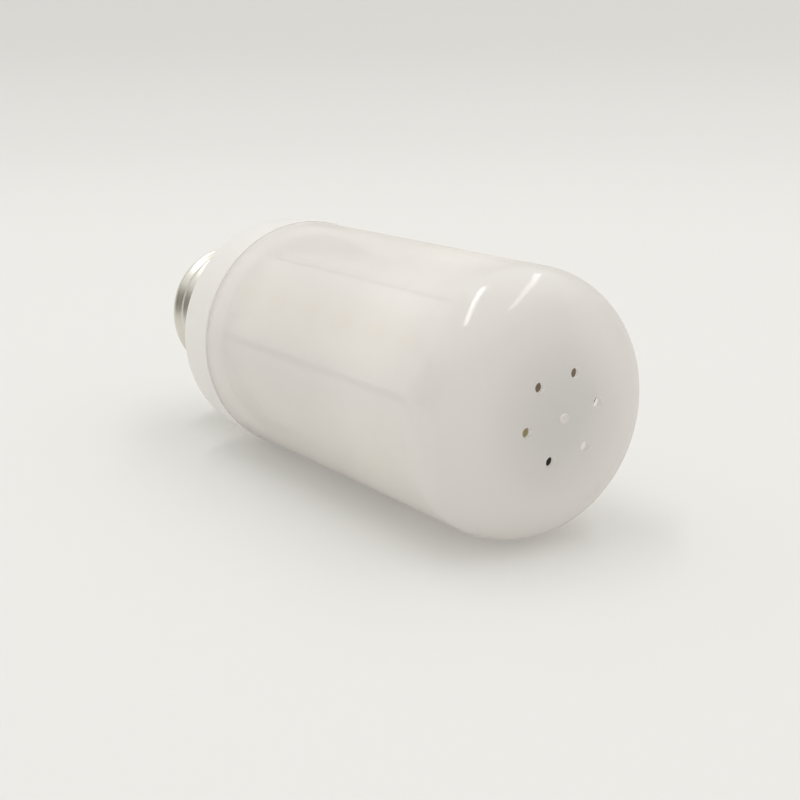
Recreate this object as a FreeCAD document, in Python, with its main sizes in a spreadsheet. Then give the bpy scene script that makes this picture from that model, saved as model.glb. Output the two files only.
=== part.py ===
import FreeCAD, Part
import math
import os
import Sketcher

# Flame effect LED bulb with an Edison screw cap.
# Millimetres. The bulb's axis is the X axis and the dome points along +X, so it lies as in the photo, +Z up.
# The origin is on the axis, in the flat back face of the housing where the screw cap begins.

doc = FreeCAD.newDocument("flame_bulb")
sheet = doc.addObject("Spreadsheet::Sheet", "Sizes")

NUMBERS = {
    # cover
    "cover_radius": 21.5,
    "cover_wall": 0.8,
    "seam_plane": 12.0,
    "shoulder_start": 76.2,
    "shoulder_radius": 10.0,
    "crown_radius": 84.0,
    "vent_radius": 0.82,
    "vent_circle": 6.84,
    "vent_turn": 11.5,
    "vent_count": 6,
    "gate_radius": 0.75,
    "gate_height": 0.4,
    # housing
    "rim_step": 0.25,
    "back_taper": 0.55,
    "back_edge": 3.0,
    "housing_wall": 2.4,
    "back_wall": 2.0,
    "spigot_length": 1.9,
    "spigot_gap": 0.15,
    "rim_edge": 0.35,
    "neck_skirt_length": 2.8,
    "neck_length": 9.0,
    "neck_bore": 9.7,
    "neck_gap": 0.1,
    "post_inset": 2.3,
    "post_radius": 2.1,
    "pilot_radius": 0.85,
    "pilot_depth": 5.0,
    "post_count": 4,
    "board_plane": 7.0,
    # screw cap, Edison 27
    "skirt_radius": 13.15,
    "skirt_length": 3.2,
    "crest_radius": 13.1,
    "root_radius": 12.1,
    "pitch": 3.629,
    "sheet_thickness": 0.3,
    "thread_crests": 5,
    "shell_step": 0.5,
    "shell_step_drop": 0.3,
    "cone_length": 1.655,
    "cone_drop": 1.5,
    "insulator_depth": 1.4,
    "insulator_rise": 1.2,
    "contact_radius": 4.75,
    "contact_thickness": 0.4,
    "solder_rise": 1.4,
    "contact_bore": 1.0,
    "contact_recess": 0.4,
    "contact_edge": 0.15,
    "contact_fit": 0.05,
    "solder_radius": 2.6,
    # strips round the axis
    "panel_inset": 5.6,
    "panel_split": 2.56,
    "panel_thickness": 1.0,
    "panel_count": 6,
    "panel_turn": 25.0,
    "tab_width": 5.0,
    "tab_gap": 0.1,
    "board_thickness": 1.6,
    "drum_end": 72.0,
    "top_overhang": 0.4,
    "top_hole": 4.0,
    "base_board_gap": 0.3,
    "base_board_hole": 4.0,
    # LEDs
    "led_rows": 6,
    "led_length": 3.5,
    "led_width": 2.8,
    "led_height": 0.8,
    "led_edge": 5.5,
    # base board screws
    "screw_head_radius": 1.9,
    "screw_head_height": 1.3,
    "screw_hole": 1.2,
    "screw_length": 5.5,
    "screw_drive": 0.5,
    "drive_share": 0.62,
    "drive_over": 0.2,
    # driver board in the neck
    "driver_back": 19.0,
    "driver_front": 4.0,
    "driver_width": 19.0,
    "driver_thickness": 1.0,
    "wire_radius": 0.6,
    "live_landing": 1.4,
    "live_offset": 1.2,
    "neutral_landing": 13.0,
    "neutral_offset": 5.5,
    "neutral_run": 6.0,
    "neutral_turn": 45.0,
    "supply_landing": 3.0,
    "supply_lift": 2.0,
    "supply_offset": 5.0,
    "supply_spread": 3.0,
    "supply_lean": 0.4,
    "supply_drift": 1.0,
    "supply_bow": 0.5,
    "supply_height": 5.4,
    "supply_sag": 1.2,
    "capacitor_inset": 3.5,
    "capacitor_offset": 2.0,
    "capacitor_bend": 1.2,
    "lead_spacing": 2.5,
    "capacitor_radius": 3.15,
    "capacitor_length": 9.0,
    "capacitor_lead": 0.3,
    "drop_share": 1.3,
    "choke_radius": 2.9,
    "choke_height": 5.0,
    "choke_flange": 0.8,
    "choke_offset": 4.6,
    "choke_inset": 4.2,
    "spool_share": 0.8,
    "resistor_inset": 3.0,
    "resistor_offset": 5.2,
    "resistor_radius": 1.1,
    "resistor_length": 6.0,
    "chip_length": 4.9,
    "chip_width": 3.9,
    "chip_height": 1.4,
    "chip_lead": 0.4,
    "chip_pitch": 1.27,
    "chip_reach": 1.0,
    "lead_root_share": 0.45,
    "driver_chip_leads": 4,
    "chip_inset": 11.0,
    "chip_offset": 4.85,
    "bridge_inset": 3.0,
    "bridge_length": 4.7,
    "bridge_width": 4.0,
    "bridge_height": 1.5,
    "bridge_leads": 2,
    "controller_length": 8.6,
    "controller_leads": 6,
    "controller_offset": 6.0,
    "sensor_across": 8.0,
    "sensor_below": 3.0,
    "sensor_radius": 1.9,
    "sensor_height": 5.2,
}
for row, (alias, number) in enumerate(NUMBERS.items(), start=1):
    sheet.set("A" + str(row), alias)
    sheet.set("B" + str(row), str(number))
    sheet.setAlias("B" + str(row), alias)
doc.recompute()


PLAIN_COUNTS = ("vent_count", "post_count", "panel_count", "led_rows", "thread_crests", "driver_chip_leads",
                "bridge_leads", "controller_leads")


class Length:
    """A number together with the sheet formula that gives it."""

    def __init__(self, number, formula):
        self.number = number
        self.formula = formula

    def __add__(self, other):
        other = length(other)
        return Length(self.number + other.number, "(" + self.formula + " + " + other.formula + ")")

    def __radd__(self, other):
        return length(other) + self

    def __sub__(self, other):
        other = length(other)
        return Length(self.number - other.number, "(" + self.formula + " - " + other.formula + ")")

    def __rsub__(self, other):
        return length(other) - self

    def __mul__(self, other):
        other = length(other)
        return Length(self.number * other.number, "(" + self.formula + " * " + other.formula + ")")

    def __rmul__(self, other):
        return length(other) * self

    def __truediv__(self, other):
        other = length(other)
        return Length(self.number / other.number, "(" + self.formula + " / " + other.formula + ")")

    def __neg__(self):
        return Length(-self.number, "(-1 * " + self.formula + ")")

    def root(self):
        return Length(math.sqrt(self.number), "sqrt(" + self.formula + ")")


def length(value):
    """Plain numbers become lengths of their own."""
    if isinstance(value, Length):
        return value
    return Length(float(value), str(float(value)))


size = {}
for alias in NUMBERS:
    size[alias] = Length(float(sheet.get(alias)), "Sizes." + alias)
count_of = {}
for alias in PLAIN_COUNTS:
    count_of[alias] = round(size[alias].number)

# What fits together is worked out from the cover's radius and the clearances.
cover_inner = size["cover_radius"] - size["cover_wall"]
rim_radius = size["cover_radius"] + size["rim_step"]
back_radius = rim_radius - size["back_taper"]
cavity = rim_radius - size["housing_wall"]
spigot = cover_inner - size["spigot_gap"]
panel_step = 360.0 / count_of["panel_count"]
panel_apothem = size["cover_radius"] - size["panel_inset"]
hexagon_side = panel_apothem * 2 * math.tan(math.radians(panel_step / 2))
panel_width = hexagon_side - size["panel_split"]
post_circle = panel_apothem - size["post_inset"]
post_angle = size["panel_turn"] + panel_step / 2
post_step = 360.0 / count_of["post_count"]
board_front = size["board_plane"] + size["board_thickness"]
board_top = size["driver_thickness"] / 2
half_pitch = size["pitch"] / 2
half_depth = (size["crest_radius"] - size["root_radius"]) / 2
thread_start = size["skirt_length"] + half_depth
crossings = 2 * count_of["thread_crests"]
step_plane = thread_start + crossings * half_pitch + size["shell_step"]
step_radius = size["root_radius"] - size["shell_step_drop"]
shell_length = step_plane + size["cone_length"]
shell_end_radius = step_radius - size["cone_drop"]
insulator_start = shell_length - size["insulator_depth"]
insulator_end = shell_length + size["insulator_rise"]
contact_face = insulator_end + size["contact_thickness"]
contact_tip = contact_face + size["solder_rise"]
contact_rear = size["contact_recess"] - insulator_start


def new_body(label):
    body = doc.addObject("PartDesign::Body", label)
    body.Label = label
    return body


def plane_of(body, role):
    return [item for item in body.Origin.OriginFeatures if item.Role == role][0]


def new_sketch(body, name, role, offset=0.0):
    """A sketch on one of the body's own planes, moved along the plane's normal."""
    offset = length(offset)
    sketch = body.newObject("Sketcher::SketchObject", name)
    sketch.AttachmentSupport = (plane_of(body, role), [""])
    sketch.MapMode = "FlatFace"
    sketch.AttachmentOffset = FreeCAD.Placement(FreeCAD.Vector(0, 0, offset.number), FreeCAD.Rotation())
    sketch.setExpression("AttachmentOffset.Base.z", offset.formula)
    return sketch


def bind(sketch, kind, where, value):
    """Adds one constraint and ties it to its formula."""
    value = length(value)
    index = sketch.addConstraint(Sketcher.Constraint(kind, *where, value.number))
    sketch.setExpression("Constraints[" + str(index) + "]", value.formula)


def outline(sketch, corners):
    """A closed outline. A corner is (x, y), or (x, y, radius, side) when an arc runs on to the next corner.

    The side is 1 when the arc's centre lies left of the way round, and -1 when it lies right.
    """
    count = len(corners)
    ends = []
    for number, corner in enumerate(corners):
        here = [length(corner[0]), length(corner[1])]
        following = corners[(number + 1) % count]
        there = [length(following[0]), length(following[1])]
        start = FreeCAD.Vector(here[0].number, here[1].number, 0)
        end = FreeCAD.Vector(there[0].number, there[1].number, 0)
        if len(corner) == 2:
            index = sketch.addGeometry(Part.LineSegment(start, end), False)
            ends.append((index, 1, 2))
            continue
        radius, side = length(corner[2]), corner[3]
        chord = end - start
        rise = math.sqrt(radius.number ** 2 - (chord.Length / 2) ** 2)
        normal = FreeCAD.Vector(-chord.y, chord.x, 0) / chord.Length
        centre = (start + end) / 2 + normal * rise * side
        circle = Part.Circle(centre, FreeCAD.Vector(0, 0, 1), radius.number)
        angle_start = math.atan2(start.y - centre.y, start.x - centre.x)
        angle_end = math.atan2(end.y - centre.y, end.x - centre.x)
        if side == 1:
            arc = Part.ArcOfCircle(circle, angle_start, angle_end)
            index = sketch.addGeometry(arc, False)
            ends.append((index, 1, 2))
        else:
            arc = Part.ArcOfCircle(circle, angle_end, angle_start)
            index = sketch.addGeometry(arc, False)
            ends.append((index, 2, 1))
        bind(sketch, "Radius", (index,), radius)
    for number, corner in enumerate(corners):
        index, begin, _ = ends[number]
        before, _, finish = ends[number - 1]
        sketch.addConstraint(Sketcher.Constraint("Coincident", before, finish, index, begin))
        bind(sketch, "DistanceX", (-1, 1, index, begin), corner[0])
        bind(sketch, "DistanceY", (-1, 1, index, begin), corner[1])


def circle_at(sketch, x, y, radius):
    """A circle in a sketch, tied to its centre and radius."""
    x, y, radius = length(x), length(y), length(radius)
    centre = FreeCAD.Vector(x.number, y.number, 0)
    index = sketch.addGeometry(Part.Circle(centre, FreeCAD.Vector(0, 0, 1), radius.number), False)
    bind(sketch, "DistanceX", (-1, 1, index, 3), x)
    bind(sketch, "DistanceY", (-1, 1, index, 3), y)
    bind(sketch, "Radius", (index,), radius)


def rectangle_at(sketch, x_low, x_high, y_low, y_high):
    outline(sketch, [(x_low, y_low), (x_high, y_low), (x_high, y_high), (x_low, y_high)])


def turned(body, name, corners, kind="PartDesign::Revolution"):
    """A revolved feature round the X axis from an outline in the XY plane."""
    sketch = new_sketch(body, name + "_outline", "XY_Plane")
    outline(sketch, corners)
    feature = body.newObject(kind, name)
    feature.Profile = sketch
    feature.ReferenceAxis = (sketch, ["H_Axis"])
    feature.Angle = 360.0
    sketch.Visibility = False
    return feature


def raised(body, name, sketch, height, both_ways=False, backwards=False):
    height = length(height)
    feature = body.newObject("PartDesign::Pad", name)
    feature.Profile = sketch
    feature.Length = height.number
    feature.setExpression("Length", height.formula)
    feature.Midplane = both_ways
    feature.Reversed = backwards
    return feature


def sunk(body, name, sketch, depth=None, backwards=False, both_ways=False):
    """A pocket to a depth, or through everything when no depth is given."""
    feature = body.newObject("PartDesign::Pocket", name)
    feature.Profile = sketch
    if depth is None:
        feature.Type = "ThroughAll"
    else:
        depth = length(depth)
        feature.Length = depth.number
        feature.setExpression("Length", depth.formula)
    feature.Midplane = both_ways
    feature.Reversed = backwards
    return feature


def repeated(body, name, original, count):
    """Copies of a feature round the X axis."""
    pattern = body.newObject("PartDesign::PolarPattern", name)
    pattern.Originals = [original]
    pattern.Axis = ([item for item in body.Origin.OriginFeatures if item.Role == "X_Axis"][0], [""])
    pattern.Angle = 360.0
    pattern.Occurrences = round(count.number)
    pattern.setExpression("Occurrences", count.formula)
    body.Tip = pattern
    return pattern


def polar(radius, degrees):
    """A point at a radius and an angle from the first sketch axis, as two bound lengths."""
    degrees = length(degrees)
    angle = math.radians(degrees.number)
    across = Length(math.cos(angle), "cos(" + degrees.formula + " * 1deg)")
    along = Length(math.sin(angle), "sin(" + degrees.formula + " * 1deg)")
    return radius * across, radius * along


pieces = []

# Cover: one shell with a straight wall, a rounded shoulder and a shallow crown.
cover = new_body("diffuser_cover")
shoulder_centre = size["cover_radius"] - size["shoulder_radius"]
arc_gap = size["crown_radius"] - size["shoulder_radius"]
crown_run = (arc_gap * arc_gap - shoulder_centre * shoulder_centre).root()
crown_centre = size["shoulder_start"] - crown_run
inner_crown = size["crown_radius"] - size["cover_wall"]
inner_shoulder = size["shoulder_radius"] - size["cover_wall"]
apex = crown_centre + size["crown_radius"]
turned(cover, "cover_shell", [
    (size["seam_plane"], size["cover_radius"]),
    (size["seam_plane"], cover_inner),
    (size["shoulder_start"], cover_inner, inner_shoulder, -1),
    (crown_centre + inner_crown * crown_run / arc_gap, inner_crown * shoulder_centre / arc_gap, inner_crown, -1),
    (apex - size["cover_wall"], 0.0),
    (apex, 0.0, size["crown_radius"], 1),
    (crown_centre + size["crown_radius"] * crown_run / arc_gap, size["crown_radius"] * shoulder_centre / arc_gap,
     size["shoulder_radius"], 1),
    (size["shoulder_start"], size["cover_radius"]),
])
vent_sketch = new_sketch(cover, "vent_outline", "YZ_Plane", size["shoulder_start"])
vent_y, vent_z = polar(size["vent_circle"], size["vent_turn"])
circle_at(vent_sketch, vent_y, vent_z, size["vent_radius"])
vent = sunk(cover, "vent", vent_sketch, backwards=True)
repeated(cover, "vents", vent, size["vent_count"])
gate_sketch = new_sketch(cover, "gate_outline", "YZ_Plane", apex - size["cover_wall"] / 2)
circle_at(gate_sketch, 0.0, 0.0, size["gate_radius"])
raised(cover, "gate_mark", gate_sketch, size["cover_wall"] / 2 + size["gate_height"])
pieces.append(cover)

# Housing: collar, back wall, spigot that enters the cover, neck that enters the cap, and four board posts.
housing = new_body("base_housing")
neck_outer = size["skirt_radius"] - size["sheet_thickness"] - size["neck_gap"]
neck_inner = size["root_radius"] - size["sheet_thickness"] - size["neck_gap"]
turned(housing, "housing_shell", [
    (size["seam_plane"] + size["spigot_length"], cavity),
    (size["seam_plane"] + size["spigot_length"], spigot),
    (size["seam_plane"], spigot),
    (size["seam_plane"], rim_radius - size["rim_edge"]),
    (size["seam_plane"] - size["rim_edge"], rim_radius),
    (size["back_edge"], back_radius, size["back_edge"], 1),
    (0.0, back_radius - size["back_edge"]),
    (0.0, neck_outer),
    (-size["neck_skirt_length"], neck_outer),
    (-size["neck_skirt_length"] - neck_outer + neck_inner, neck_inner),
    (-size["neck_length"], neck_inner),
    (-size["neck_length"], size["neck_bore"]),
    (size["back_wall"], size["neck_bore"]),
    (size["back_wall"], cavity),
])
for number in range(count_of["post_count"]):
    post_sketch = new_sketch(housing, "post_outline_" + str(number), "YZ_Plane", size["back_wall"] / 2)
    post_y, post_z = polar(post_circle, post_angle + post_step * number)
    circle_at(post_sketch, post_y, post_z, size["post_radius"])
    raised(housing, "post_" + str(number), post_sketch, size["board_plane"] - size["back_wall"] / 2)
for number in range(2):
    pilot_sketch = new_sketch(housing, "pilot_outline_" + str(number), "YZ_Plane", size["board_plane"])
    pilot_y, pilot_z = polar(post_circle, post_angle + 180 * number)
    circle_at(pilot_sketch, pilot_y, pilot_z, size["pilot_radius"])
    sunk(housing, "pilot_" + str(number), pilot_sketch, size["pilot_depth"])
pieces.append(housing)

# Base board: round, on the four posts, slotted for the strips.
strip_middle = panel_apothem - size["panel_thickness"] / 2
base_board = new_body("base_board")
disc_sketch = new_sketch(base_board, "disc_outline", "YZ_Plane", size["board_plane"])
circle_at(disc_sketch, 0.0, 0.0, cavity - size["base_board_gap"])
circle_at(disc_sketch, 0.0, 0.0, size["base_board_hole"])
raised(base_board, "disc", disc_sketch, size["board_thickness"])


def strip_slots(body, plane):
    """Six slots for the tabs of the strips, and the turn that lines them up."""
    slot_sketch = new_sketch(body, "slot_outline", "YZ_Plane", plane)
    half_high = size["tab_width"] / 2 + size["tab_gap"]
    half_deep = size["panel_thickness"] / 2 + size["tab_gap"]
    rectangle_at(slot_sketch, strip_middle - half_deep, strip_middle + half_deep, -half_high, half_high)
    slot = sunk(body, "slot", slot_sketch, backwards=True)
    return repeated(body, "slots", slot, size["panel_count"])


strip_slots(base_board, size["board_plane"])
for number in range(2):
    hole_sketch = new_sketch(base_board, "hole_outline_" + str(number), "YZ_Plane", size["board_plane"])
    hole_y, hole_z = polar(post_circle, panel_step / 2 + 180 * number)
    circle_at(hole_sketch, hole_y, hole_z, size["screw_hole"])
    sunk(base_board, "screw_hole_" + str(number), hole_sketch, backwards=True)
pieces.append(base_board)

# Top plate: hexagon that ties the far ends of the strips.
top_plate = new_body("drum_top_plate")
plate_sketch = new_sketch(top_plate, "plate_outline", "YZ_Plane", size["drum_end"])
corner_radius = (panel_apothem + size["top_overhang"]) / math.cos(math.radians(panel_step / 2))
outline(plate_sketch, [polar(corner_radius, panel_step * (number + 0.5)) for number in range(count_of["panel_count"])])
circle_at(plate_sketch, 0.0, 0.0, size["top_hole"])
raised(top_plate, "plate", plate_sketch, size["board_thickness"])
strip_slots(top_plate, size["drum_end"])
pieces.append(top_plate)

# Six strips with a tab at each end.
strips = []
for number in range(count_of["panel_count"]):
    strip = new_body("led_panel_" + str(number + 1))
    strip_sketch = new_sketch(strip, "strip_outline_" + str(number + 1), "XZ_Plane", -panel_apothem)
    half = panel_width / 2
    half_tab = size["tab_width"] / 2
    outline(strip_sketch, [
        (board_front, -half),
        (size["drum_end"], -half),
        (size["drum_end"], -half_tab),
        (size["drum_end"] + size["board_thickness"], -half_tab),
        (size["drum_end"] + size["board_thickness"], half_tab),
        (size["drum_end"], half_tab),
        (size["drum_end"], half),
        (board_front, half),
        (board_front, half_tab),
        (size["board_plane"], half_tab),
        (size["board_plane"], -half_tab),
        (board_front, -half_tab),
    ])
    raised(strip, "strip_" + str(number + 1), strip_sketch, size["panel_thickness"])
    strips.append(strip)
    pieces.append(strip)

# Driver board in the neck, with its capacitor, choke, resistor and chips.
driver = new_body("driver_board")
driver_sketch = new_sketch(driver, "driver_outline", "XY_Plane")
half_driver = size["driver_width"] / 2
rectangle_at(driver_sketch, -size["driver_back"], size["driver_front"], -half_driver, half_driver)
raised(driver, "driver_sheet", driver_sketch, size["driver_thickness"], both_ways=True)
pieces.append(driver)

capacitor = new_body("smoothing_capacitor")
capacitor_axis = board_top + size["capacitor_radius"]
can_start = size["capacitor_inset"] - size["driver_back"]
can_end = can_start + size["capacitor_length"]
can_sketch = new_sketch(capacitor, "can_outline", "YZ_Plane", can_start)
circle_at(can_sketch, size["capacitor_offset"], capacitor_axis, size["capacitor_radius"])
raised(capacitor, "can", can_sketch, size["capacitor_length"])
for number, side in enumerate((-0.5, 0.5)):
    lead_place = size["capacitor_offset"] + side * size["lead_spacing"]
    lead_sketch = new_sketch(capacitor, "lead_outline_" + str(number), "YZ_Plane", can_end)
    circle_at(lead_sketch, lead_place, capacitor_axis, size["capacitor_lead"])
    raised(capacitor, "lead_" + str(number), lead_sketch, size["capacitor_bend"])
    drop_sketch = new_sketch(capacitor, "drop_outline_" + str(number), "XY_Plane", board_top)
    circle_at(drop_sketch, can_end + size["capacitor_bend"], lead_place, size["capacitor_lead"] * size["drop_share"])
    raised(capacitor, "drop_" + str(number), drop_sketch, size["capacitor_radius"] + 2 * size["capacitor_lead"])
pieces.append(capacitor)

choke = new_body("choke")
spool_sketch = new_sketch(choke, "spool_outline", "XZ_Plane")
waist = size["choke_radius"] * size["spool_share"]
choke_top = board_top + size["choke_height"]
outline(spool_sketch, [
    (0.0, board_top),
    (size["choke_radius"], board_top),
    (size["choke_radius"], board_top + size["choke_flange"]),
    (waist, board_top + size["choke_flange"]),
    (waist, choke_top - size["choke_flange"]),
    (size["choke_radius"], choke_top - size["choke_flange"]),
    (size["choke_radius"], choke_top),
    (0.0, choke_top),
])
spool = choke.newObject("PartDesign::Revolution", "spool")
spool.Profile = spool_sketch
spool.ReferenceAxis = (spool_sketch, ["V_Axis"])
spool.Angle = 360.0
pieces.append(choke)

resistor = new_body("fuse_resistor")
resistor_sketch = new_sketch(resistor, "resistor_outline", "YZ_Plane", size["resistor_inset"] - size["driver_back"])
circle_at(resistor_sketch, -size["resistor_offset"], board_top + size["resistor_radius"], size["resistor_radius"])
raised(resistor, "resistor_barrel", resistor_sketch, size["resistor_length"])
pieces.append(resistor)


def leaded_chip(label, x_low, y_low, plane, span, width, height, lead_rows, upwards=True):
    """A moulded chip with a row of gull leads on each long side, drawn flat on the XY plane."""
    body = new_body(label)
    chip_sketch = new_sketch(body, label + "_outline", "XY_Plane", plane)
    rectangle_at(chip_sketch, x_low, x_low + span, y_low, y_low + width)
    raised(body, label + "_mould", chip_sketch, height, backwards=not upwards)
    for side in (-1, 1):
        for lead in range(lead_rows):
            name = label + "_lead_" + str(lead) + ("a" if side < 0 else "b")
            lead_sketch = new_sketch(body, name + "_outline", "XY_Plane", plane)
            middle = x_low + span / 2 + (lead - (lead_rows - 1) / 2) * size["chip_pitch"]
            inner = y_low + width / 2 + side * width * size["lead_root_share"]
            outer = y_low + width / 2 + side * (width / 2 + size["chip_reach"])
            low, high = (outer, inner) if side < 0 else (inner, outer)
            rectangle_at(lead_sketch, middle - size["chip_lead"] / 2, middle + size["chip_lead"] / 2, low, high)
            raised(body, name, lead_sketch, height / 3, backwards=not upwards)
    return body


driver_chip = leaded_chip("driver_chip", size["chip_inset"] - size["driver_back"],
                          -size["chip_offset"] - size["chip_width"] / 2, -board_top, size["chip_length"],
                          size["chip_width"], size["chip_height"], count_of["driver_chip_leads"], upwards=False)
pieces.append(driver_chip)
bridge = leaded_chip("bridge_rectifier", size["bridge_inset"] - size["driver_back"], -size["bridge_width"] / 2,
                     -board_top, size["bridge_length"], size["bridge_width"], size["bridge_height"],
                     count_of["bridge_leads"], upwards=False)
pieces.append(bridge)
controller = leaded_chip("controller_chip", -size["controller_length"] / 2, size["controller_offset"], board_front,
                         size["controller_length"], size["chip_width"], size["chip_height"],
                         count_of["controller_leads"])
pieces.append(controller)

sensor = new_body("tilt_sensor")
sensor_sketch = new_sketch(sensor, "sensor_outline", "YZ_Plane", board_front)
circle_at(sensor_sketch, -size["sensor_across"], -size["sensor_below"], size["sensor_radius"])
raised(sensor, "sensor_can", sensor_sketch, size["sensor_height"])
pieces.append(sensor)

# Screw shell: plated sheet of one thickness, with the rolled thread as rings at the true pitch.
shell = new_body("screw_shell")
thread_middle = size["root_radius"] + half_depth
roll_radius = (half_pitch * half_pitch / 4 + half_depth * half_depth) / (2 * half_depth)
sheet_share = size["sheet_thickness"] / roll_radius
inner_middle = thread_middle - (roll_radius - half_depth) * sheet_share
shell_inner_end = shell_end_radius - size["sheet_thickness"]
shell_corners = [
    (0.0, size["skirt_radius"]),
    (-size["skirt_length"], size["skirt_radius"]),
]
for crossing in range(crossings):
    side = 1 if crossing % 2 else -1
    shell_corners.append((-thread_start - crossing * half_pitch, thread_middle, roll_radius, side))
shell_corners += [
    (-thread_start - crossings * half_pitch, thread_middle),
    (-step_plane, step_radius),
    (-shell_length, shell_end_radius),
    (-shell_length, shell_inner_end),
    (-step_plane + size["sheet_thickness"], step_radius - size["sheet_thickness"]),
]
for crossing in range(crossings, -1, -1):
    shift = half_pitch / 2 * sheet_share * (-1 if crossing % 2 else 1)
    corner = (-thread_start - crossing * half_pitch + shift, inner_middle)
    if crossing == 0:
        shell_corners.append(corner)
    elif crossing % 2:
        shell_corners.append(corner + (roll_radius + size["sheet_thickness"], 1))
    else:
        shell_corners.append(corner + (roll_radius - size["sheet_thickness"], -1))
shell_corners += [
    (-size["skirt_length"], size["skirt_radius"] - size["sheet_thickness"]),
    (0.0, size["skirt_radius"] - size["sheet_thickness"]),
]
turned(shell, "rolled_sheet", shell_corners)
pieces.append(shell)

# Cap insulator and the contact it holds.
insulator = new_body("cap_insulator")
cone_slope = size["cone_drop"] / (size["cone_length"] + size["sheet_thickness"])
turned(insulator, "insulator_glass", [
    (-insulator_end, size["contact_bore"]),
    (-insulator_end, size["contact_radius"]),
    (-shell_length, shell_inner_end),
    (-insulator_start, shell_inner_end + cone_slope * size["insulator_depth"]),
    (-insulator_start, size["contact_bore"]),
])
pieces.append(insulator)

contact = new_body("centre_contact")
solder_squares = size["solder_radius"] * size["solder_radius"] + size["solder_rise"] * size["solder_rise"]
turned(contact, "contact_disc", [
    (contact_rear, 0.0),
    (-contact_tip, 0.0, solder_squares / (2 * size["solder_rise"]), -1),
    (-contact_face, size["solder_radius"]),
    (-contact_face, size["contact_radius"] - size["contact_edge"]),
    (-insulator_end, size["contact_radius"] - size["contact_edge"]),
    (-insulator_end, size["contact_bore"] - size["contact_fit"]),
    (contact_rear, size["contact_bore"] - size["contact_fit"]),
])
pieces.append(contact)
doc.recompute()

# Each strip, the slotted plates and the control parts take their turn round the axis.
along = FreeCAD.Vector(1, 0, 0)
for number, strip in enumerate(strips):
    strip.Placement = FreeCAD.Placement(FreeCAD.Vector(), FreeCAD.Rotation(
        along, size["panel_turn"].number + panel_step * number))
base_board.Placement = FreeCAD.Placement(FreeCAD.Vector(), FreeCAD.Rotation(along, size["panel_turn"].number))
top_plate.Placement = FreeCAD.Placement(FreeCAD.Vector(), FreeCAD.Rotation(along, size["panel_turn"].number))
choke.Placement = FreeCAD.Placement(FreeCAD.Vector(), FreeCAD.Rotation())
choke.setExpression("Placement.Base.x", "Sizes.driver_front - Sizes.choke_inset")
choke.setExpression("Placement.Base.y", "-1 * Sizes.choke_offset")
# The controller is drawn flat, then stands up onto the face of the base board.
controller.Placement = FreeCAD.Placement(FreeCAD.Vector(), FreeCAD.Rotation(FreeCAD.Vector(0, 1, 0), 90))
doc.recompute()


def number_of(alias):
    return sheet.get(alias)


# LEDs: six rows on each strip, seated on its outer face, one group of separate solids.
led_rows, strip_count = count_of["led_rows"], count_of["panel_count"]
first_row = board_front.number + number_of("led_edge")
row_step = (number_of("drum_end") - number_of("led_edge") - first_row) / (led_rows - 1)
emitters = []
for strip_number in range(strip_count):
    for row in range(led_rows):
        led = Part.makeBox(number_of("led_length"), number_of("led_height"), number_of("led_width"), FreeCAD.Vector(
            first_row + row * row_step - number_of("led_length") / 2, panel_apothem.number,
            -number_of("led_width") / 2))
        led.rotate(FreeCAD.Vector(), along, number_of("panel_turn") + panel_step * strip_number)
        emitters.append(led)
leds = doc.addObject("Part::Feature", "led_emitters")
leds.Label = "led_emitters"
leds.Shape = Part.makeCompound(emitters)
leds.Placement = FreeCAD.Placement()
pieces.append(leds)

# Base board screws: pan heads on the board, shanks in the posts.
board_face = board_front.number
screws = []
for number in range(2):
    head = Part.makeCylinder(number_of("screw_head_radius"), number_of("screw_head_height"),
                             FreeCAD.Vector(board_face, 0, 0), along)
    shank = Part.makeCylinder(number_of("pilot_radius"), number_of("screw_length"),
                              FreeCAD.Vector(board_face - number_of("screw_length"), 0, 0), along)
    screw = head.fuse(shank)
    drive = number_of("screw_drive")
    reach = number_of("screw_head_radius") * number_of("drive_share")
    for wide, deep in ((reach, drive / 2), (drive / 2, reach)):
        screw = screw.cut(Part.makeBox(drive + number_of("drive_over"), 2 * wide, 2 * deep, FreeCAD.Vector(
            board_face + number_of("screw_head_height") - drive, -wide, -deep)))
    angle = math.radians(post_angle.number + 180 * number)
    screw.translate(FreeCAD.Vector(0, post_circle.number * math.cos(angle),
                                   post_circle.number * math.sin(angle)))
    screws.append(screw.removeSplitter())
board_screws = doc.addObject("Part::Feature", "board_screws")
board_screws.Label = "board_screws"
board_screws.Shape = Part.makeCompound(screws)
board_screws.Placement = FreeCAD.Placement()
pieces.append(board_screws)


def wire_solid(points, radius):
    """A round wire through the points, with its section square to the first leg."""
    corners = [FreeCAD.Vector(*point) for point in points]
    spline = Part.BSplineCurve()
    spline.interpolate(corners)
    path = Part.Wire([spline.toShape()])
    first = spline.tangent(spline.FirstParameter)[0]
    section = Part.Wire([Part.makeCircle(radius, corners[0], first)])
    return path.makePipeShell([section], True, False)


wire_radius = number_of("wire_radius")
wire_level = board_top.number + wire_radius
driver_back, driver_front = -number_of("driver_back"), number_of("driver_front")

# The live wire runs from the contact's rivet to the driver board.
live_start = contact_rear.number
live_end = driver_back + number_of("live_landing")
live_route = [
    (live_start, 0.0, 0.0),
    ((live_start + live_end) / 2, 0.0, wire_level),
    (live_end, -number_of("live_offset"), wire_level),
]

# The neutral wire runs from the driver board's under side to the inside of the screw shell.
shell_touch = number_of("root_radius") - number_of("sheet_thickness") - wire_radius
neutral_side = math.radians(number_of("neutral_turn"))
neutral_y, neutral_z = shell_touch * math.cos(neutral_side), -shell_touch * math.sin(neutral_side)
neutral_start = driver_back + number_of("neutral_landing")
neutral_route = [
    (neutral_start, number_of("neutral_offset"), -wire_level),
    (neutral_start - number_of("neutral_run") / 2, neutral_y * 0.8, neutral_z / 2),
    (neutral_start - number_of("neutral_run"), neutral_y, neutral_z),
]

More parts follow.
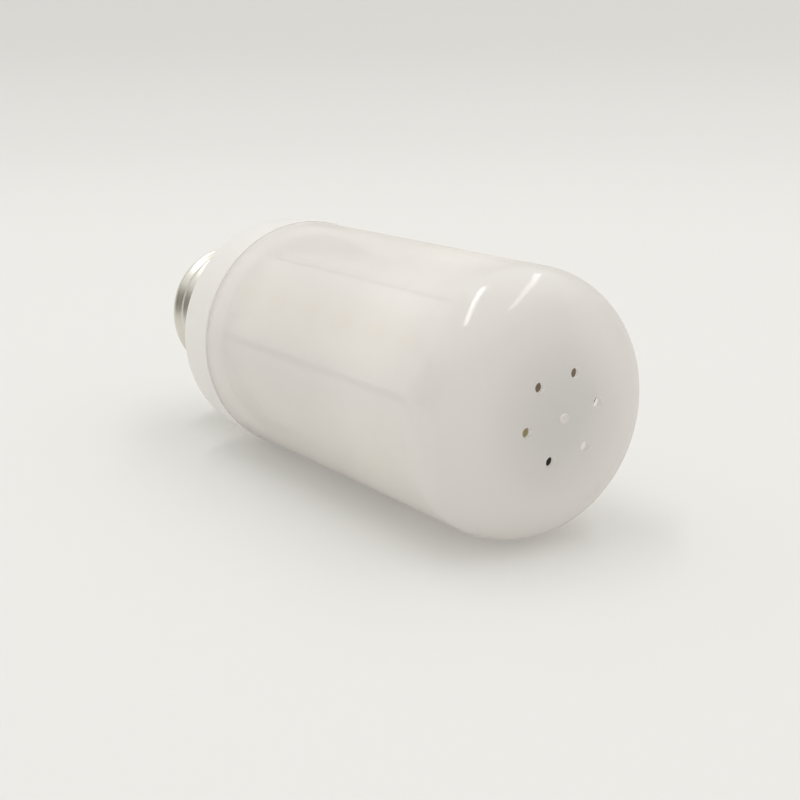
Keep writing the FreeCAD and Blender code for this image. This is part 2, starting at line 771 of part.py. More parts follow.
# The two supply wires run from the driver board to the back of the base board.
board_back = number_of("board_plane")
supply_height, supply_sag = number_of("supply_height"), number_of("supply_sag")
supply_routes = []
for wire_number in range(2):
    supply_y = number_of("supply_offset") - number_of("supply_spread") * wire_number
    supply_start = driver_front - number_of("supply_landing")
    supply_end = supply_y - number_of("supply_drift")
    supply_routes.append([
        (supply_start, supply_y, wire_level),
        (supply_start + number_of("supply_lift"), supply_y - number_of("supply_lean"), wire_level),
        ((driver_front + board_back) / 2 - number_of("supply_bow"), supply_end, supply_height - supply_sag),
        (board_back, supply_end, supply_height),
    ])
wires = {"live_wire": [live_route], "neutral_wire": [neutral_route], "supply_wires": supply_routes}
for label, routes in wires.items():
    runs = [wire_solid(route, wire_radius) for route in routes]
    harness = doc.addObject("Part::Feature", label)
    harness.Label = label
    harness.Shape = runs[0] if len(runs) == 1 else Part.makeCompound(runs)
    harness.Placement = FreeCAD.Placement()
    pieces.append(harness)
doc.recompute()

problems = []
for item in doc.Objects:
    if "Invalid" in item.State or "Error" in item.State:
        problems.append(item.Name + " " + str(item.State))
os.makedirs("parts", exist_ok=True)
for piece in pieces:
    if piece.Shape.isNull() or not piece.Shape.isValid():
        problems.append(piece.Label + " has a null or invalid shape")
        continue
    box = piece.Shape.BoundBox
    print(piece.Label, "solids", len(piece.Shape.Solids), "volume", round(piece.Shape.Volume, 1),
          [round(value, 2) for value in (box.XMin, box.XMax, box.YMin, box.YMax, box.ZMin, box.ZMax)])
if problems:
    raise RuntimeError("; ".join(problems))
for piece in pieces:
    piece.Shape.exportStep("parts/" + piece.Label + ".step")
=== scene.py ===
"""Looks of the flame effect LED bulb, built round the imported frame, in metres."""

import logging
import math
from dataclasses import dataclass, field
from enum import Enum
from typing import Protocol

import bmesh
import bpy
from mathutils import Matrix, Vector


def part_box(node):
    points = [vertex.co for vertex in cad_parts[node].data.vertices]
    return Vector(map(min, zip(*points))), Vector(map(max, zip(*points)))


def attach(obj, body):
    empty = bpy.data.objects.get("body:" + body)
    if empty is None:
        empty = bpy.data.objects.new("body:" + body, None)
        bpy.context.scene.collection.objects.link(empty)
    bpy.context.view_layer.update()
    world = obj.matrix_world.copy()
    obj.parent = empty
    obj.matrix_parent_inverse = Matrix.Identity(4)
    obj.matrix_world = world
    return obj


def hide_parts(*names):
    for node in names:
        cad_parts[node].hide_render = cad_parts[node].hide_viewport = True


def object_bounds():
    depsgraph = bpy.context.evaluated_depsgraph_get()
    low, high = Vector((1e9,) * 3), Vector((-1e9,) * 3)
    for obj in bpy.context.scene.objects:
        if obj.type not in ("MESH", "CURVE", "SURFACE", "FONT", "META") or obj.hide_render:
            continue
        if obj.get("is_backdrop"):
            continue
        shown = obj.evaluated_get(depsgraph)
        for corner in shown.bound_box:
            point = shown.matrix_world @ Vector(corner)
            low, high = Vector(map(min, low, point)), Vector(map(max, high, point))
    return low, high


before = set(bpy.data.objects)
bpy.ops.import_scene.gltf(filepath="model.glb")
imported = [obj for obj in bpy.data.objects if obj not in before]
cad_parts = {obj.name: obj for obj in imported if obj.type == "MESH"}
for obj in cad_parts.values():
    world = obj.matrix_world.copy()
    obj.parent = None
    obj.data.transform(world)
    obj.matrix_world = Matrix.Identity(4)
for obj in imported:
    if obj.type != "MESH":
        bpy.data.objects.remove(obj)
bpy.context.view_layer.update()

MM = 0.001
AXIS = Vector((1.0, 0.0, 0.0))
UP = Vector((0.0, 0.0, 1.0))
ON_AXIS = (0.0, 0.0)
WELD = 0.002 * MM
# Bounds that lie past every part of the bulb, for regions that are open at one side.
NEAR, FAR = -1.0, 1.0
CLOUD_DETAIL = 3.0
GLOSS_SPREAD = 0.2
# Numbers of the sockets of a Mix node that works on colours.
MIX_FACTOR, MIX_FIRST, MIX_SECOND, MIX_RESULT = 0, 6, 7, 2
Colour = tuple[float, float, float]
logging.basicConfig(level=logging.INFO, format="%(message)s")
log = logging.getLogger("bulb")


class Join(Enum):
    """How two shapes are combined."""

    CUT = "DIFFERENCE"
    ADD = "UNION"


class Along(Enum):
    """Axes of the bulb's frame."""

    X = 0
    Y = 1
    Z = 2


class Term:
    """A shader socket that can be used in sums, products and comparisons."""

    def __init__(self, shade: "Shade", socket: bpy.types.NodeSocket) -> None:
        """Keep the socket and the material it belongs to."""
        self.shade = shade
        self.socket = socket

    def _with(self, operation: str, first: "Value", second: "Value" = 0.0) -> "Term":
        """Add a Math node for one operation on terms or numbers."""
        node = self.shade.node("ShaderNodeMath", {"operation": operation}, {0: first, 1: second})
        return Term(self.shade, node.outputs[0])

    def __add__(self, other: "Value") -> "Term":
        """Sum with a term or a number."""
        return self._with("ADD", self, other)

    __radd__ = __add__

    def __sub__(self, other: "Value") -> "Term":
        """Difference with a term or a number."""
        return self._with("SUBTRACT", self, other)

    def __rsub__(self, other: "Value") -> "Term":
        """A number minus this term."""
        return self._with("SUBTRACT", other, self)

    def __mul__(self, other: "Value") -> "Term":
        """Product with a term or a number."""
        return self._with("MULTIPLY", self, other)

    __rmul__ = __mul__

    def __truediv__(self, other: "Value") -> "Term":
        """Quotient by a term or a number."""
        return self._with("DIVIDE", self, other)

    def __gt__(self, other: "Value") -> "Term":
        """One where this term is greater, else nothing."""
        return self._with("GREATER_THAN", self, other)

    def __lt__(self, other: "Value") -> "Term":
        """One where this term is less, else nothing."""
        return self._with("LESS_THAN", self, other)

    def __abs__(self) -> "Term":
        """Distance from zero."""
        return self._with("ABSOLUTE", self)

    def root(self) -> "Term":
        """Square root."""
        return self._with("SQRT", self)

    def rounded(self) -> "Term":
        """Nearest whole number."""
        return self._with("ROUND", self)

    def sine(self) -> "Term":
        """Sine of an angle in radians."""
        return self._with("SINE", self)

    def cosine(self) -> "Term":
        """Cosine of an angle in radians."""
        return self._with("COSINE", self)

    def angle(self, across: "Term") -> "Term":
        """The angle whose rise is this term and whose run is the other."""
        return self._with("ARCTAN2", self, across)

    def ramp(self, low: float, high: float) -> "Term":
        """Rise smoothly between two values of this term.

        Args:
            low: Where the rise starts.
            high: Where it ends.

        Returns:
            Nothing below the first value, one above the second.
        """
        node = self.shade.node("ShaderNodeMapRange", {"interpolation_type": "SMOOTHSTEP"}, {
            0: self, 1: low, 2: high, 3: 0.0, 4: 1.0})
        return Term(self.shade, node.outputs[0])


Value = Term | float


class Shade:
    """One material under construction."""

    def __init__(self, name: str) -> None:
        """Start an empty node tree with its output.

        Args:
            name: The material's name.
        """
        self.material = bpy.data.materials.new(name)
        self.material.use_nodes = True
        self.tree = self.material.node_tree
        self.tree.nodes.clear()
        self.output = self.node("ShaderNodeOutputMaterial", {}, {})

    def node(self, kind: str, settings: dict[str, object],
             inputs: dict[int | str, object]) -> bpy.types.Node:
        """Add any node.

        Args:
            kind: The node's type.
            settings: Properties to set first.
            inputs: Socket names or numbers with plain values, terms or sockets.

        Returns:
            The new node.
        """
        made = self.tree.nodes.new(kind)
        for key, value in settings.items():
            setattr(made, key, value)
        for key, value in inputs.items():
            socket = made.inputs[key]
            if isinstance(value, Term):
                self.tree.links.new(value.socket, socket)
            elif isinstance(value, bpy.types.NodeSocket):
                self.tree.links.new(value, socket)
            else:
                socket.default_value = value
        return made

    def place(self) -> tuple[Term, Term, Term]:
        """Read where a point of the surface is.

        Returns:
            Object coordinates as three terms, in metres.
        """
        where = self.node("ShaderNodeTexCoord", {}, {})
        parts = self.node("ShaderNodeSeparateXYZ", {}, {0: where.outputs["Object"]})
        return tuple(Term(self, parts.outputs[index]) for index in range(3))

    def noise(self, size: float) -> Term:
        """Make soft noise on object coordinates.

        Args:
            size: About the size of a blotch, in metres.

        Returns:
            The noise, about a half on average.
        """
        where = self.node("ShaderNodeTexCoord", {}, {})
        made = self.node("ShaderNodeTexNoise", {}, {
            "Vector": where.outputs["Object"], "Scale": 1.0 / size, "Detail": CLOUD_DETAIL})
        return Term(self, made.outputs["Fac"])

    def tint(self, factor: Term, first: "bpy.types.NodeSocket | Colour",
             second: "bpy.types.NodeSocket | Colour") -> bpy.types.NodeSocket:
        """Blend two colours.

        Args:
            factor: How far to go from the first to the second, from 0 to 1.
            first: A colour or a socket.
            second: A colour or a socket.

        Returns:
            The socket of the blend.
        """
        colours = [(*one, 1.0) if isinstance(one, tuple) else one for one in (first, second)]
        made = self.node("ShaderNodeMix", {"data_type": "RGBA"}, {
            MIX_FACTOR: factor, MIX_FIRST: colours[0], MIX_SECOND: colours[1]})
        return made.outputs[MIX_RESULT]

    def finish(self, shader: bpy.types.Node) -> bpy.types.Material:
        """Join the last shader to the output and hand over the material."""
        self.tree.links.new(shader.outputs[0], self.output.inputs[0])
        return self.material


class Region(Protocol):
    """A part of a piece, picked out by a mask."""

    def mask(self, shade: Shade) -> Term:
        """One inside, nothing outside."""


class Dressing(Protocol):
    """Anything that builds its own material."""

    def material(self) -> bpy.types.Material:
        """Build the material."""


@dataclass(frozen=True)
class Slab:
    """The part of a piece between two planes square to an axis."""

    axis: Along
    low: float
    high: float

    def mask(self, shade: Shade) -> Term:
        """One inside, nothing outside."""
        place = shade.place()[self.axis.value]
        return (place > self.low) * (place < self.high)


@dataclass(frozen=True)
class Barrel:
    """The part of a piece between two distances from a line along an axis."""

    axis: Along
    centre: tuple[float, float]
    low: float
    high: float

    def mask(self, shade: Shade) -> Term:
        """Compare the distance from the line with its two bounds.

        Args:
            shade: The material that the mask is for.

        Returns:
            One inside, nothing outside.
        """
        across = [place for index, place in enumerate(shade.place()) if index != self.axis.value]
        steps = [place - middle for place, middle in zip(across, self.centre)]
        reach = (steps[0] * steps[0] + steps[1] * steps[1]).root()
        return (reach > self.low) * (reach < self.high)


@dataclass(frozen=True)
class LedPatch:
    """A rectangle repeated at each LED of each strip, in the strip's own frame."""

    along: tuple[float, float]
    across: tuple[float, float]
    out: tuple[float, float]
    first_row: float = 14.1 * MM
    row_step: float = 10.48 * MM
    turn: float = math.radians(25.0)
    strips: int = 6

    def mask(self, shade: Shade) -> Term:
        """Fold every strip and row onto one, and compare with the rectangle there.

        Args:
            shade: The material that the mask is for.

        Returns:
            One inside, nothing outside.
        """
        x, y, z = shade.place()
        step = 2 * math.pi / self.strips
        turned = z.angle(y) - self.turn
        off = turned - (turned / step).rounded() * step
        reach = (y * y + z * z).root()
        row = (x - self.first_row) / self.row_step
        measures = (
            (abs(row - row.rounded()) * self.row_step, self.along),
            (abs(reach * off.sine()), self.across),
            (reach * off.cosine(), self.out),
        )
        inside = None
        for measure, (low, high) in measures:
            here = (measure > low) * (measure < high)
            inside = here if inside is None else inside * here
        return inside


@dataclass(frozen=True)
class Zone:
    """A region of a piece with its own colour, gloss and metal."""

    region: Region
    colour: Colour
    roughness: float = 0.4
    metallic: float = 0.0


@dataclass(frozen=True)
class Finish:
    """A procedural finish: a mottled ground with regions laid over it."""

    name: str
    colour: Colour
    roughness: float = 0.5
    metallic: float = 0.0
    mottle: float = 0.05
    grain: float = 4 * MM
    coat: float = 0.0
    zones: tuple[Zone, ...] = ()

    def material(self) -> bpy.types.Material:
        """Build the material, with metal as a plain number where no zone changes it.

        Returns:
            The finished material.
        """
        shade = Shade(self.name)
        cloud = shade.noise(self.grain)
        dull = tuple(value * (1.0 - self.mottle) for value in self.colour)
        colour = shade.tint(cloud, dull, self.colour)
        smoothest = self.roughness * (1.0 - GLOSS_SPREAD / 2)
        roughness = cloud * (self.roughness * GLOSS_SPREAD) + smoothest
        metallic: Value = self.metallic
        for zone in self.zones:
            mask = zone.region.mask(shade)
            colour = shade.tint(mask, colour, zone.colour)
            roughness = roughness + mask * (zone.roughness - roughness)
            if isinstance(metallic, Term) or zone.metallic != metallic:
                metallic = mask * (zone.metallic - metallic) + metallic
        return shade.finish(shade.node("ShaderNodeBsdfPrincipled", {}, {
            "Base Color": colour, "Roughness": roughness, "Metallic": metallic,
            "Coat Weight": self.coat}))


@dataclass(frozen=True)
class MilkyCover:
    """Glossy milky polycarbonate whose wall scatters light once on the way through it."""

    colour: Colour = (0.99, 0.977, 0.958)
    blush: Colour = (0.99, 0.968, 0.948)
    blush_size: float = 28 * MM
    blush_range: tuple[float, float] = (0.35, 0.65)
    # Painted shade: the crown is greyed where the hollow behind the dome is dark.
    crown_painted_shade_colour: Colour = (0.845, 0.85, 0.845)
    crown_shade_start: tuple[float, float] = (77.0 * MM, 81.0 * MM)
    crown_shade_reach: tuple[float, float] = (3.0 * MM, 15.0 * MM)
    gate_colour: Colour = (0.95, 0.93, 0.915)
    gate: Barrel = Barrel(Along.X, ON_AXIS, NEAR, 0.8 * MM)
    clear: float = 0.085
    dome_clear: float = 0.03
    dome_start: tuple[float, float] = (73.0 * MM, 79.0 * MM)
    clear_tint: Colour = (0.97, 0.96, 0.95)
    glow: float = 0.40
    inner_glow: float = 0.85
    inner: Barrel = Barrel(Along.X, ON_AXIS, 19.5 * MM, 21.1 * MM)
    dome_band: Slab = Slab(Along.X, 58.0 * MM, 76.0 * MM)
    seam_band: Slab = Slab(Along.X, 11.0 * MM, 22.0 * MM)
    gloss: float = 0.10
    ior: float = 1.6

    def ground(self, shade: Shade) -> bpy.types.NodeSocket:
        """Lay the blush, and a painted shade that greys the crown, over the cover's own colour.

        Args:
            shade: The cover's material.

        Returns:
            The socket of the colour.
        """
        x, y, z = shade.place()
        blush = shade.noise(self.blush_size).ramp(*self.blush_range)
        # Painted shade, greying the crown round the axis.
        middle = 1.0 - (y * y + z * z).root().ramp(*self.crown_shade_reach)
        crown = middle * x.ramp(*self.crown_shade_start)
        return shade.tint(crown, shade.tint(blush, self.colour, self.blush), self.crown_painted_shade_colour)

    def scatter(self, shade: Shade) -> Term:
        """Share of light that passes through, greater inside the wall at both of its ends.

        Args:
            shade: The cover's material.

        Returns:
            The share, from 0 to 1.
        """
        ends = self.dome_band.mask(shade) + self.seam_band.mask(shade)
        return self.inner.mask(shade) * ends * (self.inner_glow - self.glow) + self.glow

    def opening(self, shade: Shade, gate: Term) -> Term:
        """Share of the surface that is clear: little where a ray enters, all where it leaves.

        Args:
            shade: The cover's material.
            gate: Mask of the gate mark, which isn't clear.

        Returns:
            The share, from 0 to 1.
        """
        dome = shade.place()[Along.X.value].ramp(*self.dome_start)
        share = dome * (self.dome_clear - self.clear) + self.clear
        leaving = Term(shade, shade.node("ShaderNodeNewGeometry", {}, {}).outputs["Backfacing"])
        return (1.0 - gate) * share * (1.0 - leaving) + leaving

    def material(self) -> bpy.types.Material:
        """Build the cover's material.

        Returns:
            The finished material.
        """
        shade = Shade("milky_plastic")
        gate = self.gate.mask(shade)
        skin = shade.node("ShaderNodeBsdfPrincipled", {}, {
            "Base Color": shade.tint(gate, self.ground(shade), self.gate_colour),
            "Roughness": self.gloss, "IOR": self.ior})
        through = shade.node("ShaderNodeBsdfTranslucent", {}, {"Color": (*self.colour, 1.0)})
        clear = shade.node("ShaderNodeBsdfTransparent", {}, {"Color": (*self.clear_tint, 1.0)})
        bulk = shade.node("ShaderNodeMixShader", {}, {
            0: self.scatter(shade), 1: skin.outputs[0], 2: through.outputs[0]})
        return shade.finish(shade.node("ShaderNodeMixShader", {}, {
            0: self.opening(shade, gate), 1: bulk.outputs[0], 2: clear.outputs[0]}))


class Form:
    """Helpers that turn a bmesh into a finished piece on the bulb."""

    @staticmethod
    def placed(name: str, shape: bmesh.types.BMesh) -> bpy.types.Object:
        """Put a shape into the scene; the shape is used up.

        Args:
            name: The object's name.
            shape: Its mesh, in place.

        Returns:
            The new object.
        """
        mesh = bpy.data.meshes.new(name)
        shape.to_mesh(mesh)
        shape.free()
        piece = bpy.data.objects.new(name, mesh)
        bpy.context.scene.collection.objects.link(piece)
        return piece

    @staticmethod
    def finish(name: str, shape: bmesh.types.BMesh, finish: Dressing, slot: str,
               replaces: tuple[str, ...], sharp: float = 35.0) -> bpy.types.Object:
        """Make the object, dress it and let it ride on the bulb.

        Args:
            name: The piece's name.
            shape: Its closed mesh, in place.
            finish: The finish whose material it takes.
            slot: Not used.
            replaces: CAD nodes that it stands for.
            sharp: Edges bent more than this many degrees stay sharp.

        Returns:
            The new object.
        """
        bmesh.ops.recalc_face_normals(shape, faces=shape.faces[:])
        for face in shape.faces:
            face.smooth = True
        bend = math.radians(sharp)
        for edge in shape.edges:
            edge.smooth = len(edge.link_faces) == 2 and edge.calc_face_angle(0.0) < bend
        piece = Form.placed(name, shape)
        piece.data.materials.append(finish.material())
        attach(piece, "root")
        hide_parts(*replaces)
        log.info("%s: %d faces", name, len(piece.data.polygons))
        return piece

    @staticmethod
    def turned(corners: list[tuple[float, float, float]], axis: Vector, steps: int, weld: float,
               closed: bool = False) -> bmesh.types.BMesh:
        """Turn a line of points right round an axis through the origin.

        Args:
            corners: The points, in order.
            axis: The axis.
            steps: Faces in a full turn.
            weld: Points nearer to each other than this are merged.
            closed: Whether the last point is joined to the first.

        Returns:
            The turned shape.
        """
        shape = bmesh.new()
        points = [shape.verts.new(corner) for corner in corners]
        edges = [shape.edges.new(pair) for pair in zip(points, points[1:])]
        if closed:
            edges.append(shape.edges.new((points[-1], points[0])))
        bmesh.ops.spin(shape, geom=points + edges, cent=(0, 0, 0), axis=axis, angle=2 * math.pi,
                       steps=steps, use_merge=True)
        bmesh.ops.remove_doubles(shape, verts=shape.verts[:], dist=weld)
        bmesh.ops.recalc_face_normals(shape, faces=shape.faces[:])
        return shape

    @staticmethod
    def spun(outline: list[tuple[float, float]], steps: int) -> bmesh.types.BMesh:
        """Turn (x, radius) points round the bulb's axis, closed where they start off the axis."""
        corners = [(x, radius, 0.0) for x, radius in outline]
        return Form.turned(corners, AXIS, steps, WELD, closed=outline[0][1] > 0.0)

    @staticmethod
    def arc(centre: tuple[float, float], radius: float, start: float, end: float,
            steps: int) -> list[tuple[float, float]]:
        """Step along an arc in the (x, radius) plane, with angles from the x axis in radians.

        Args:
            centre: The arc's centre.
            radius: Its radius.
            start: The angle of its first point.
            end: The angle of its last point.
            steps: Parts that it is cut into.

        Returns:
            The points, both ends with them.
        """
        turns = [start + (end - start) * step / steps for step in range(steps + 1)]
        return [(centre[0] + radius * math.cos(turn), centre[1] + radius * math.sin(turn))
                for turn in turns]

    @staticmethod
    def rods(places: list[tuple[float, float]], low: float, high: float, radius: float,
             segments: int = 40) -> bmesh.types.BMesh:
        """Make round rods along the bulb's axis.

        Args:
            places: Where each rod stands, as (y, z).
            low: The x of their back ends.
            high: The x of their front ends.
            radius: Their radius.
            segments: Faces round each.

        Returns:
            All the rods in one shape.
        """
        shape = bmesh.new()
        lay = Matrix.Rotation(math.pi / 2, 4, "Y")
        for y, z in places:
            bmesh.ops.create_cone(shape, cap_ends=True, segments=segments, radius1=radius,
                                  radius2=radius, depth=high - low,
                                  matrix=Matrix.Translation(((low + high) / 2, y, z)) @ lay)
        return shape

    @staticmethod
    def ring(circle: float, turn: float, count: int) -> list[tuple[float, float]]:
        """Places (y, z) evenly round a circle."""
        turns = [turn + 2 * math.pi * number / count for number in range(count)]
        return [(circle * math.cos(one), circle * math.sin(one)) for one in turns]

    @staticmethod
    def combine(shape: bmesh.types.BMesh, tool: bmesh.types.BMesh,
                how: Join) -> bmesh.types.BMesh:
        """Join or cut a shape with another; both are used up.

        Args:
            shape: The shape that is worked on.
            tool: The shape that is added or taken away.
            how: Which of the two.

        Returns:
            The combined shape.
        """
        items = [Form.placed("work", part) for part in (shape, tool)]
        modifier = items[0].modifiers.new("work", "BOOLEAN")
        modifier.operation = how.value
        modifier.object = items[1]
        modifier.solver = "EXACT"
        bpy.context.view_layer.update()
        result = bmesh.new()
        result.from_object(items[0], bpy.context.evaluated_depsgraph_get())
        for item in items:
            mesh = item.data
            bpy.data.objects.remove(item)
            bpy.data.meshes.remove(mesh)
        return result


@dataclass
class Cover:
    """The milky cover with its vent holes and gate mark."""

    radius: float = 21.5 * MM
    wall: float = 0.8 * MM
    shoulder: float = 10.0 * MM
    crown: float = 84.0 * MM
    seam_edge: float = 0.12 * MM
    gate_radius: float = 0.75 * MM
    gate_height: float = 0.4 * MM
    gate_edge: float = 0.12 * MM
    vent_radius: float = 0.82 * MM
    vent_circle: float = 6.84 * MM
    vent_turn: float = math.radians(11.5)
    vents: int = 6
    drill_inside: float = 6 * MM
    drill_outside: float = 3 * MM
    crown_steps: int = 10
    shoulder_steps: int = 18
    inner_shoulder_steps: int = 16
    steps: int = 160

    def outline(self) -> list[tuple[float, float]]:
        """Draw the wall's section.

        Returns:
            Points from the axis inside, round the seam, to the axis outside.
        """
        low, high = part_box("diffuser_cover")
        apex = high[0] - self.gate_height
        crown_centre = apex - self.crown
        shoulder_radius = self.radius - self.shoulder
        run = math.sqrt((self.crown - self.shoulder) ** 2 - shoulder_radius ** 2)
        crown_middle = (crown_centre, 0.0)
        shoulder_middle = (crown_centre + run, shoulder_radius)
        meet = math.atan2(shoulder_radius, run)
        square = math.pi / 2
        inner = Form.arc(crown_middle, self.crown - self.wall, 0.0, meet, self.crown_steps)
        inner += Form.arc(shoulder_middle, self.shoulder - self.wall, meet, square,
                          self.inner_shoulder_steps)[1:]
        inner[0] = (inner[0][0], 0.0)
        seam = [(low[0], self.radius - self.wall), (low[0], self.radius - self.seam_edge),
                (low[0] + self.seam_edge, self.radius)]
        outer = Form.arc(shoulder_middle, self.shoulder, square, meet, self.shoulder_steps)
        gate_start = math.asin(self.gate_radius / self.crown)
        outer += Form.arc(crown_middle, self.crown, meet, gate_start, self.crown_steps)[1:]
        gate = [(high[0] - self.gate_edge, self.gate_radius),
                (high[0], self.gate_radius - self.gate_edge), (high[0], 0.0)]
        return inner + seam + outer + gate

    def build(self) -> bpy.types.Object:
        """Spin the shell and drill the vents.

        Returns:
            The cover.
        """
        shape = Form.spun(self.outline(), self.steps)
        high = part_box("diffuser_cover")[1]
        places = Form.ring(self.vent_circle, self.vent_turn, self.vents)
        drills = Form.rods(places, high[0] - self.drill_inside, high[0] + self.drill_outside,
                           self.vent_radius)
        shape = Form.combine(shape, drills, Join.CUT)
        return Form.finish("milky_cover", shape, MilkyCover(), "milky_plastic",
                           ("diffuser_cover",))


@dataclass
class Housing:
    """White housing: collar, back wall, spigot, neck and the posts for the base board."""

    rim: float = 21.75 * MM
    back: float = 21.2 * MM
    back_edge: float = 3.0 * MM
    rim_edge: float = 0.22 * MM
    seam: float = 12.0 * MM
    spigot: float = 20.55 * MM
    spigot_end: float = 13.9 * MM
    cavity: float = 19.35 * MM
    back_wall: float = 2.0 * MM
    neck: float = 12.75 * MM
    neck_skirt: float = 2.8 * MM
    neck_inner: float = 11.7 * MM
    neck_bore: float = 9.7 * MM
    posts: int = 4
    post_circle: float = 13.6 * MM
    post_turn: float = math.radians(55.0)
    post_radius: float = 2.1 * MM
    board_plane: float = 7.0 * MM
    pilot: float = 0.85 * MM
    pilot_depth: float = 5.0 * MM
    pilot_segments: int = 24
    rim_steps: int = 6
    back_steps: int = 14
    steps: int = 144
    colour: Colour = (0.86, 0.84, 0.815)
    # Painted light: the spigot is lighter than the rest of the same plastic, to lift it where it
    # lies in shade under the cover.
    spigot_painted_light_colour: Colour = (0.97, 0.96, 0.945)
    spigot_margin: float = 0.02 * MM
    cavity_colour: Colour = (0.93, 0.915, 0.895)
    bore_margin: float = 0.1 * MM
    cavity_margin: float = 0.05 * MM

    def outline(self) -> list[tuple[float, float]]:
        """Draw the shell's section.

        Returns:
            Points from the spigot's end, over the rim and the back, to the cavity.
        """
        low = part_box("base_housing")[0]
        slope = math.atan2(self.rim - self.back, self.seam - self.back_edge)
        crest = math.pi / 2 + slope
        outline = [(self.spigot_end, self.cavity),
                   (self.spigot_end, self.spigot - self.rim_edge / 2),
                   (self.spigot_end - self.rim_edge / 2, self.spigot), (self.seam, self.spigot)]
        outline += Form.arc((self.seam - self.rim_edge, self.rim - self.rim_edge), self.rim_edge,
                            0.0, crest, self.rim_steps)
        outline += Form.arc((self.back_edge, self.back - self.back_edge), self.back_edge,
                            crest, math.pi, self.back_steps)
        outline += [(0.0, self.neck), (-self.neck_skirt, self.neck),
                    (-self.neck_skirt - self.neck + self.neck_inner, self.neck_inner),
                    (low[0], self.neck_inner), (low[0], self.neck_bore),
                    (self.back_wall, self.neck_bore), (self.back_wall, self.cavity)]
        return outline

    def finish(self) -> Finish:
        """Choose the white plastic's colours.

        Returns:
            The finish, lighter on the spigot, which is painted light, and in the cavity.
        """
        # The spigot's lighter colour is painted light.
        spigot = Slab(Along.X, self.seam + self.spigot_margin, self.spigot_end + self.rim_edge)
        cavity = Barrel(Along.X, ON_AXIS, self.neck_bore + self.bore_margin,
                        self.cavity + self.cavity_margin)
        return Finish("white_plastic", self.colour, roughness=0.25, mottle=0.02, grain=12 * MM,
                      zones=(Zone(spigot, self.spigot_painted_light_colour), Zone(cavity, self.cavity_colour)))

    def build(self) -> bpy.types.Object:
        """Spin the shell, raise the posts and drill the pilots.

        Returns:
            The housing.
        """
        shape = Form.spun(self.outline(), self.steps)
        places = Form.ring(self.post_circle, self.post_turn, self.posts)
        posts = Form.rods(places, self.back_wall / 2, self.board_plane, self.post_radius)
        shape = Form.combine(shape, posts, Join.ADD)
        pilots = Form.rods(places[::2], self.board_plane - self.pilot_depth,
                           self.board_plane + self.rim_edge, self.pilot, self.pilot_segments)
        shape = Form.combine(shape, pilots, Join.CUT)
        return Form.finish("white_housing", shape, self.finish(), "white_plastic",
                           ("base_housing",))


@dataclass
class ScrewShell:
    """The plated screw shell, with its rolled thread as a true right-hand helix."""

    crest: float = 13.1 * MM
    root: float = 12.1 * MM
    fullness: float = 0.85
    skirt: float = 13.15 * MM
    skirt_length: float = 3.2 * MM
    pitch: float = 3.629 * MM
    run_in: float = 1.1 * MM
    run_in_lead: float = 0.3 * MM
    run_out: float = 1.2 * MM
    run_out_lead: float = 0.4 * MM
    thread_stop: float = 21.2 * MM
    cone_gap: float = 0.2 * MM
    cone_curve: float = 1.3
    end_radius: float = 10.3 * MM
    thickness: float = 0.3 * MM
    weld: float = 0.01 * MM
    columns: int = 128
    rows: int = 120
    sharp: float = 50.0
    plate: Finish = Finish("nickel_plate", (0.78, 0.76, 0.69), roughness=0.33, metallic=1.0,
                           mottle=0.08, grain=9 * MM)

    @staticmethod
    def ease(value: float) -> float:
        """A smooth step from 0 to 1."""
        value = min(max(value, 0.0), 1.0)
        return value * value * (3.0 - 2.0 * value)

    def radius(self, depth: float, turn: float, length: float) -> float:
        """Work out the outside radius at one point.

        Args:
            depth: How far behind the housing the point is.
            turn: Its angle round the axis.
            length: The whole shell's length.

        Returns:
            The radius there.
        """
        wave = (0.5 + 0.5 * math.cos(-2 * math.pi * depth / self.pitch - turn)) ** self.fullness
        enter = self.ease((depth - self.skirt_length + self.run_in_lead) / self.run_in)
        leave = self.ease((self.thread_stop + self.run_out_lead - depth) / self.run_out)
        threaded = self.root + (self.crest - self.root) * wave * leave
        radius = self.skirt * (1.0 - enter) + threaded * enter
        start = self.thread_stop + self.cone_gap
        cone = max(0.0, depth - start) / (length - start)
        return radius - (self.root - self.end_radius) * cone ** self.cone_curve

    def build(self) -> bpy.types.Object:
        """Wrap a grid into the thread and give it its sheet thickness.

        Returns:
            The shell.
        """
        length = -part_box("screw_shell")[0][0]
        shape = bmesh.new()
        bmesh.ops.create_grid(shape, x_segments=self.columns, y_segments=self.rows, size=1.0)
        for vert in shape.verts:
            turn = math.pi * (vert.co.x + 1.0)
            depth = length * (vert.co.y + 1.0) / 2
            radius = self.radius(depth, turn, length)
            vert.co = Vector((-depth, radius * math.cos(turn), radius * math.sin(turn)))
        bmesh.ops.remove_doubles(shape, verts=shape.verts[:], dist=self.weld)
        bmesh.ops.recalc_face_normals(shape, faces=shape.faces[:])
        halfway = self.skirt_length / 2
        probe = min(shape.faces, key=lambda face: abs(face.calc_center_median().x + halfway))
        middle = probe.calc_center_median()
        if probe.normal.dot(Vector((0.0, middle.y, middle.z))) < 0.0:
            bmesh.ops.reverse_faces(shape, faces=shape.faces[:])
        bmesh.ops.solidify(shape, geom=shape.faces[:], thickness=self.thickness)
        return Form.finish("threaded_shell", shape, self.plate, "nickel_plate", ("screw_shell",),
                           self.sharp)


TIN = (0.68, 0.67, 0.64)
COPPER = (0.72, 0.36, 0.20)
FERRITE = (0.05, 0.045, 0.045)
BLACK_MOULD = (0.022, 0.022, 0.024)
BLACK_BAND = (0.02, 0.02, 0.02)


def tinned(region: Region, roughness: float) -> Zone:
    """A bare tinned region."""
    return Zone(region, TIN, roughness, 1.0)


